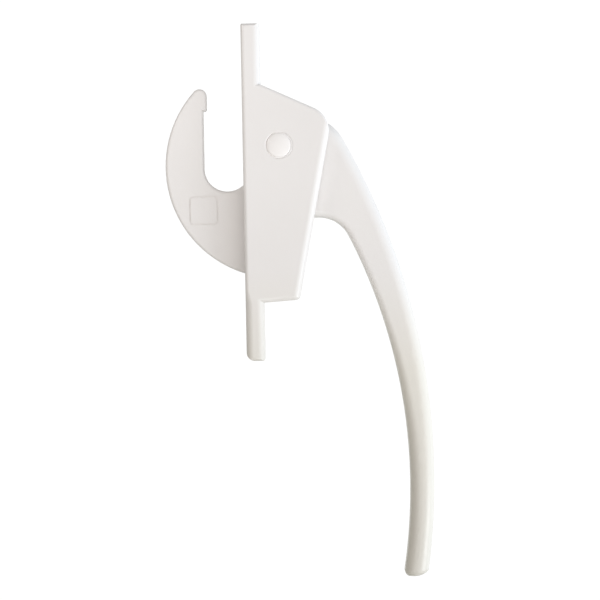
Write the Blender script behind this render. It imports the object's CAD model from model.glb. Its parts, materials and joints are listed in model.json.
"""Casement window handle: white castings, rivet, washer, bushes and spring, lit and seen as photographed.

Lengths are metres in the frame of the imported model: X out of the mounting face, Z up. The camera looks
along +Y.
"""

import json
import math

import bmesh
import bpy
from mathutils import Matrix, Vector


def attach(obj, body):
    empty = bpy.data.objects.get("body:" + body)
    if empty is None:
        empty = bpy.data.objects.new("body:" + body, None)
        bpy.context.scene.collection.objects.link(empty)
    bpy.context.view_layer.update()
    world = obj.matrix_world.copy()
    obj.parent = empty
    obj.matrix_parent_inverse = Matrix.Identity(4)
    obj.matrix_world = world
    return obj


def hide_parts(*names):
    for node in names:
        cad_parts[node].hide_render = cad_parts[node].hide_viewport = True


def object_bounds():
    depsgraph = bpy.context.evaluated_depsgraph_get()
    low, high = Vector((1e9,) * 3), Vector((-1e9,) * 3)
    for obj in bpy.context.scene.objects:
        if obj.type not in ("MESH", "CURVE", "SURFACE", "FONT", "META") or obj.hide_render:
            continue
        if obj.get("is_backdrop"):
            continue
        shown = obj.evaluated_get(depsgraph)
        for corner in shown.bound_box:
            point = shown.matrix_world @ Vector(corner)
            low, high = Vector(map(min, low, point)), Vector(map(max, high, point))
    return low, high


MM = 0.001

# The photograph: its width, the plate's real length over its length in pixels, the pixel where the frame's
# origin lies, and how far the handle leans
PHOTO_WIDTH_PX = 600
METRES_PER_PX = 80 * MM / 336.6
ORIGIN_PX = Vector((243.7, 192.7))
LEAN = math.radians(1.1)

# Camera
CAMERA_DISTANCE = 1.2
SCALED_PLANE_Y = -5 * MM
SENSOR_WIDTH = 36.0
CLIP_START = 0.05
CLIP_END = 20.0

# Finishing of the meshes
WELD_DISTANCE = 0.002 * MM
SHARP_ANGLE = math.radians(28)

# The coat round the rivet's head: its section, as distances from the pivot and depths under the cheek's face
CHEEK_FACE_Y = -9.5 * MM
RING_PROFILE = ((2.78 * MM, 0.14 * MM), (2.98 * MM, 0.22 * MM), (3.2 * MM, 0.14 * MM), (3.02 * MM, 0.36 * MM))
RING_TILT = math.radians(-2.5)
RING_STEPS = 96

# Where the coat begins to yellow on the grip, the height over which it does, and how uneven that line is
HANDLED_FROM = -18 * MM
HANDLED_RUN = 26 * MM
HANDLED_UNEVEN = 0.4

# Light: a lamp close by at the upper left, one at the lower right, the room's light from each side,
# and the white that the camera sees behind the handle
LIT_POINT = (0.013, 0.0, -0.026)
NEAR_PLACE = (-0.1, -0.08, 0.06)
NEAR_SIZE = 0.05
NEAR_POWER = 0.0395
NEAR_TINT = (1.0, 0.99, 0.995)
LOW_PLACE = (0.3, -0.15, -0.15)
LOW_SIZE = 0.15
LOW_POWER = 0.335
LOW_TINT = (0.93, 0.96, 1.0)
ROOM_SIDES = (
    ((1, 0, 0), (1.27, 1.4, 1.52)),
    ((-1, 0, 0), (0.06, 0.05, 0.03)),
    ((0, 0, 1), (0.34, 0.34, 0.34)),
    ((0, -1, 0), (0.35, 0.31, 0.26)),
    ((0, 1, 0), (0.85, 0.86, 0.82)),
    ((0, -0.707, -0.707), (1.26, 1.26, 1.31)),
)
BACKDROP = 1.05

# Floor
FLOOR_DROP = 60 * MM
FLOOR_RADIUS = 0.2
FLOOR_SEGMENTS = 128


class Field:
    """A shader socket that takes part in Python expressions; each expression adds its Math nodes."""

    def __init__(self, shader, socket):
        self.shader = shader
        self.socket = socket

    def maths(self, operation, *values):
        return self.shader.node("ShaderNodeMath", {"operation": operation}, dict(enumerate(values)))

    def axis(self, name):
        """One coordinate of a place."""
        return self.shader.node("ShaderNodeSeparateXYZ", None, {"Vector": self}, name)

    def __add__(self, other):
        return self.maths("ADD", self, other)

    def __radd__(self, other):
        return self.maths("ADD", other, self)

    def __sub__(self, other):
        return self.maths("SUBTRACT", self, other)

    def __rsub__(self, other):
        return self.maths("SUBTRACT", other, self)

    def __mul__(self, other):
        return self.maths("MULTIPLY", self, other)


class Shader:
    """A material's or world's node tree, emptied, with one method that adds any node."""

    def __init__(self, owner):
        owner.use_nodes = True
        self.tree = owner.node_tree
        self.tree.nodes.clear()

    def node(self, kind, settings=None, inputs=None, output=0):
        """Adds a node with settings and with values or links on its sockets, and returns one output."""
        made = self.tree.nodes.new(kind)
        for name, value in (settings or {}).items():
            setattr(made, name, value)
        for name, value in (inputs or {}).items():
            if isinstance(value, Field):
                self.tree.links.new(value.socket, made.inputs[name])
            else:
                made.inputs[name].default_value = value
        return Field(self, made.outputs[output]) if made.outputs else None

    def place(self):
        """Object coordinates, in metres."""
        return self.node("ShaderNodeTexCoord", output="Object")

    def noise(self, size, detail=2.0, roughness=0.5):
        """Noise between 0 and 1 whose features are about this size in metres."""
        inputs = {"Vector": self.place(), "Scale": 1 / size, "Detail": detail, "Roughness": roughness}
        return self.node("ShaderNodeTexNoise", {"noise_dimensions": "3D"}, inputs)

    def bump(self, height, distance, strength=1.0):
        """A normal from a height between 0 and 1, whose full step is this distance in metres."""
        inputs = {"Height": height, "Distance": distance, "Strength": strength}
        return self.node("ShaderNodeBump", None, inputs)

    def blend(self, share, first, second):
        """A colour between two colours."""
        return self.node(
            "ShaderNodeMix",
            {"data_type": "RGBA", "clamp_factor": True},
            {"Factor": share, 6: first, 7: second},
            output=2,
        )

    def surface(self, **sockets):
        """The Principled surface that ends the material."""
        named = {name.replace("_", " "): value for name, value in sockets.items()}
        shaded = self.node("ShaderNodeBsdfPrincipled", None, named)
        self.node("ShaderNodeOutputMaterial", None, {"Surface": shaded})


def colour(red, green, blue):
    """A linear colour with full alpha."""
    return (red, green, blue, 1.0)


def powder_coat():
    """White powder coat: faint orange peel, fine grain, uneven satin, a little yellowed low on the grip."""
    material = bpy.data.materials.new("white_powder_coat")
    shader = Shader(material)
    tone = shader.noise(14 * MM, detail=3.0)
    peel = shader.noise(1.1 * MM, detail=1.0)
    grain = shader.noise(0.22 * MM, detail=2.0)
    height = peel * 0.75 + grain * 0.25
    white = shader.blend(tone, colour(0.845, 0.815, 0.79), colour(0.885, 0.857, 0.835))
    handled = (HANDLED_FROM - shader.place().axis("Z")) * (1 / HANDLED_RUN) + (tone - 0.5) * HANDLED_UNEVEN
    shader.surface(
        Base_Color=shader.blend(handled, white, colour(0.83, 0.795, 0.725)),
        Roughness=0.3 + grain * 0.1 + tone * 0.06,
        Coat_Weight=0.25,
        Coat_Roughness=0.18,
        Normal=shader.bump(height, 0.02 * MM, 0.5),
    )
    return material


def rivet_coat():
    """The rivet's paint: whiter, smoother and glossier than the castings, over faint rings from forming."""
    material = bpy.data.materials.new("white_rivet_coat")
    shader = Shader(material)
    tone = shader.noise(3 * MM, detail=2.0)
    dimple = shader.noise(0.7 * MM, detail=1.0)
    shader.surface(
        Base_Color=shader.blend(tone, colour(0.935, 0.9, 0.875), colour(0.96, 0.93, 0.905)),
        Roughness=0.2 + dimple * 0.1,
        Coat_Weight=0.4,
        Coat_Roughness=0.1,
        Normal=shader.bump(dimple, 0.015 * MM, 0.5),
    )
    return material


def bush_plastic():
    """Natural nylon: ivory, a little mottled, with a matte moulded surface."""
    material = bpy.data.materials.new("natural_nylon")
    shader = Shader(material)
    mottle = shader.noise(1.6 * MM, detail=3.0)
    grain = shader.noise(0.12 * MM)
    shader.surface(
        Base_Color=shader.blend(mottle, colour(0.74, 0.71, 0.63), colour(0.8, 0.78, 0.7)),
        Roughness=0.42 + grain * 0.14,
        Normal=shader.bump(grain, 0.006 * MM, 0.5),
    )
    return material


def spring_steel():
    """Bare spring steel: drawn grain across the washer, brown-grey, with uneven oil film."""
    material = bpy.data.materials.new("spring_steel")
    shader = Shader(material)
    film = shader.noise(2.2 * MM, detail=3.0)
    stretched = shader.node(
        "ShaderNodeMapping", {"vector_type": "POINT"}, {"Vector": shader.place(), "Scale": (1.0, 1.0, 0.06)}
    )
    drawn = shader.node(
        "ShaderNodeTexNoise", None, {"Vector": stretched, "Scale": 1 / (0.08 * MM), "Detail": 2.0}
    )
    shader.surface(
        Base_Color=shader.blend(film, colour(0.42, 0.4, 0.37), colour(0.56, 0.54, 0.5)),
        Metallic=1.0,
        Roughness=0.24 + drawn * 0.18 + film * 0.08,
        Normal=shader.bump(drawn, 0.004 * MM, 0.6),
    )
    return material


def finished_copy(node, name):
    """A copy of a packed casting with its triangles welded, shaded smooth between its true edges."""
    source = frame["nodes"][node]
    mesh = source.data.copy()
    mesh.name = name
    shape = bmesh.new()
    shape.from_mesh(mesh)
    bmesh.ops.remove_doubles(shape, verts=shape.verts, dist=WELD_DISTANCE)
    for face in shape.faces:
        face.smooth = True
    for edge in shape.edges:
        edge.smooth = edge.calc_face_angle(0.0) < SHARP_ANGLE
    shape.to_mesh(mesh)
    shape.free()
    piece = bpy.data.objects.new(name, mesh)
    bpy.context.scene.collection.objects.link(piece)
    weights = piece.modifiers.new("even_shading", "WEIGHTED_NORMAL")
    weights.mode = "FACE_AREA"
    weights.keep_sharp = True
    return piece


def paint_ring():
    """The coat that bridges the gap round the rivet's head: a shallow hollow, deepest towards the hook."""
    mesh = bpy.data.meshes.new("paint_ring")
    shape = bmesh.new()
    places = [(pivot.x + radius, CHEEK_FACE_Y + depth, pivot.z) for radius, depth in RING_PROFILE]
    points = [shape.verts.new(place) for place in places]
    edges = [shape.edges.new(pair) for pair in zip(points, points[1:] + points[:1])]
    bmesh.ops.spin(
        shape,
        geom=points + edges,
        cent=pivot,
        axis=(0, 1, 0),
        angle=2 * math.pi,
        steps=RING_STEPS,
        use_merge=True,
        use_duplicate=False,
    )
    tilt = Matrix.Rotation(RING_TILT, 3, "Z")
    bmesh.ops.rotate(shape, verts=shape.verts, cent=(pivot.x, CHEEK_FACE_Y, pivot.z), matrix=tilt)
    bmesh.ops.recalc_face_normals(shape, faces=shape.faces)
    for face in shape.faces:
        face.smooth = True
    shape.to_mesh(mesh)
    shape.free()
    piece = bpy.data.objects.new("paint_ring", mesh)
    bpy.context.scene.collection.objects.link(piece)
    return piece


def dress(piece, node, body, material):
    """Seats a finished piece: it rides on its body, stands for its node and takes its material."""
    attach(piece, body)
    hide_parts(node)
    piece.data.materials.clear()
    piece.data.materials.append(material)


def area_light(name, place, target, size, power, tint):
    """A square soft light aimed at a point."""
    light = bpy.data.lights.new(name, "AREA")
    light.shape = "SQUARE"
    light.size = size
    light.energy = power
    light.color = tint
    lamp = bpy.data.objects.new(name, light)
    lamp.location = place
    lamp.rotation_euler = (Vector(target) - Vector(place)).to_track_quat("-Z", "Y").to_euler()
    lamp.visible_camera = False
    bpy.context.scene.collection.objects.link(lamp)


def studio_light():
    """Two soft lamps in a room that is bright at the right and from below, and dim at the left."""
    area_light("near_lamp", NEAR_PLACE, LIT_POINT, NEAR_SIZE, NEAR_POWER, NEAR_TINT)
    area_light("low_lamp", LOW_PLACE, LIT_POINT, LOW_SIZE, LOW_POWER, LOW_TINT)
    world = bpy.data.worlds.new("studio")
    bpy.context.scene.world = world
    shader = Shader(world)
    direction = shader.node("ShaderNodeTexCoord", output="Generated")
    room = (0, 0, 0)
    for side, tint in ROOM_SIDES:
        facing = shader.node(
            "ShaderNodeVectorMath", {"operation": "DOT_PRODUCT"}, {0: direction, 1: side}, "Value"
        )
        lobe = facing.maths("MAXIMUM", facing, 0.0)
        glow = shader.node("ShaderNodeVectorMath", {"operation": "SCALE"}, {0: tint, "Scale": lobe * lobe})
        room = shader.node("ShaderNodeVectorMath", {"operation": "ADD"}, {0: room, 1: glow})
    lit = shader.node("ShaderNodeBackground", None, {"Color": room})
    seen = shader.node("ShaderNodeBackground", None, {"Color": colour(1.0, 1.0, 1.0), "Strength": BACKDROP})
    is_camera = shader.node("ShaderNodeLightPath", output="Is Camera Ray")
    mixed = shader.node("ShaderNodeMixShader", None, {0: is_camera, 1: lit, 2: seen})
    shader.node("ShaderNodeOutputWorld", None, {"Surface": mixed})


def floor():
    """A plain pale round of floor below the handle."""
    low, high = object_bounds()
    mesh = bpy.data.meshes.new("floor")
    shape = bmesh.new()
    bmesh.ops.create_circle(shape, cap_ends=True, radius=FLOOR_RADIUS, segments=FLOOR_SEGMENTS)
    centre = ((low.x + high.x) / 2, (low.y + high.y) / 2, low.z - FLOOR_DROP)
    bmesh.ops.translate(shape, vec=centre, verts=shape.verts)
    shape.to_mesh(mesh)
    shape.free()
    ground = bpy.data.objects.new("floor", mesh)
    bpy.context.scene.collection.objects.link(ground)
    material = bpy.data.materials.new("pale_floor")
    Shader(material).surface(Base_Color=colour(0.88, 0.87, 0.81), Roughness=0.7)
    mesh.materials.append(material)
    ground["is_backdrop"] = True


def camera():
    """The photograph's view: level, square to the handle's side, rolled by the handle's lean."""
    right = Vector((math.cos(LEAN), 0, -math.sin(LEAN)))
    up = Vector((math.sin(LEAN), 0, math.cos(LEAN)))
    back = right.cross(up)
    from_origin = (Vector((PHOTO_WIDTH_PX / 2, PHOTO_WIDTH_PX / 2)) - ORIGIN_PX) * METRES_PER_PX
    aim = right * from_origin.x - up * from_origin.y
    lens = bpy.data.cameras.new("camera")
    lens.sensor_width = SENSOR_WIDTH
    lens.lens = SENSOR_WIDTH * CAMERA_DISTANCE / (PHOTO_WIDTH_PX * METRES_PER_PX)
    lens.clip_start = CLIP_START
    lens.clip_end = CLIP_END
    eye = bpy.data.objects.new("camera", lens)
    turn = Matrix((right, up, back)).transposed().to_4x4()
    place = aim + Vector((0, SCALED_PLANE_Y, 0)) + back * CAMERA_DISTANCE
    eye.matrix_world = Matrix.Translation(place) @ turn
    bpy.context.scene.collection.objects.link(eye)
    bpy.context.scene.camera = eye


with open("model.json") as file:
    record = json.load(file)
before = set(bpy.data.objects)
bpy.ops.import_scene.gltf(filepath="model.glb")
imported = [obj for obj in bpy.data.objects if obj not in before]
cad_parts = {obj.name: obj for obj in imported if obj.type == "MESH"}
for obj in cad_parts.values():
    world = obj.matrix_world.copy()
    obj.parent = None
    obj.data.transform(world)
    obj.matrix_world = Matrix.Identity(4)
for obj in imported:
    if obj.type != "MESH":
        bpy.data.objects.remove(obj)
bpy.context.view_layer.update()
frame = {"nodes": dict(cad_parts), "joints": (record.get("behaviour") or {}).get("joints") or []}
pivot = Vector(frame["joints"][0]["pos_m"])

camera()
studio_light()
floor()
bpy.context.scene.view_settings.view_transform = "Standard"

white = powder_coat()
rivet_white = rivet_coat()
nylon = bush_plastic()
steel = spring_steel()

dress(finished_copy("base", "base_casting"), "base", "base_body", white)
dress(finished_copy("lever", "lever_casting"), "lever", "lever_body", white)
dress(finished_copy("pivot_rivet", "rivet"), "pivot_rivet", "base_body", rivet_white)
dress(paint_ring(), "pivot_rivet", "base_body", rivet_white)
dress(finished_copy("tail_washer", "washer"), "tail_washer", "base_body", rivet_white)
dress(finished_copy("near_bush", "bush_near"), "near_bush", "lever_body", nylon)
dress(finished_copy("far_bush", "bush_far"), "far_bush", "lever_body", nylon)
dress(finished_copy("friction_spring", "spring"), "friction_spring", "base_body", steel)
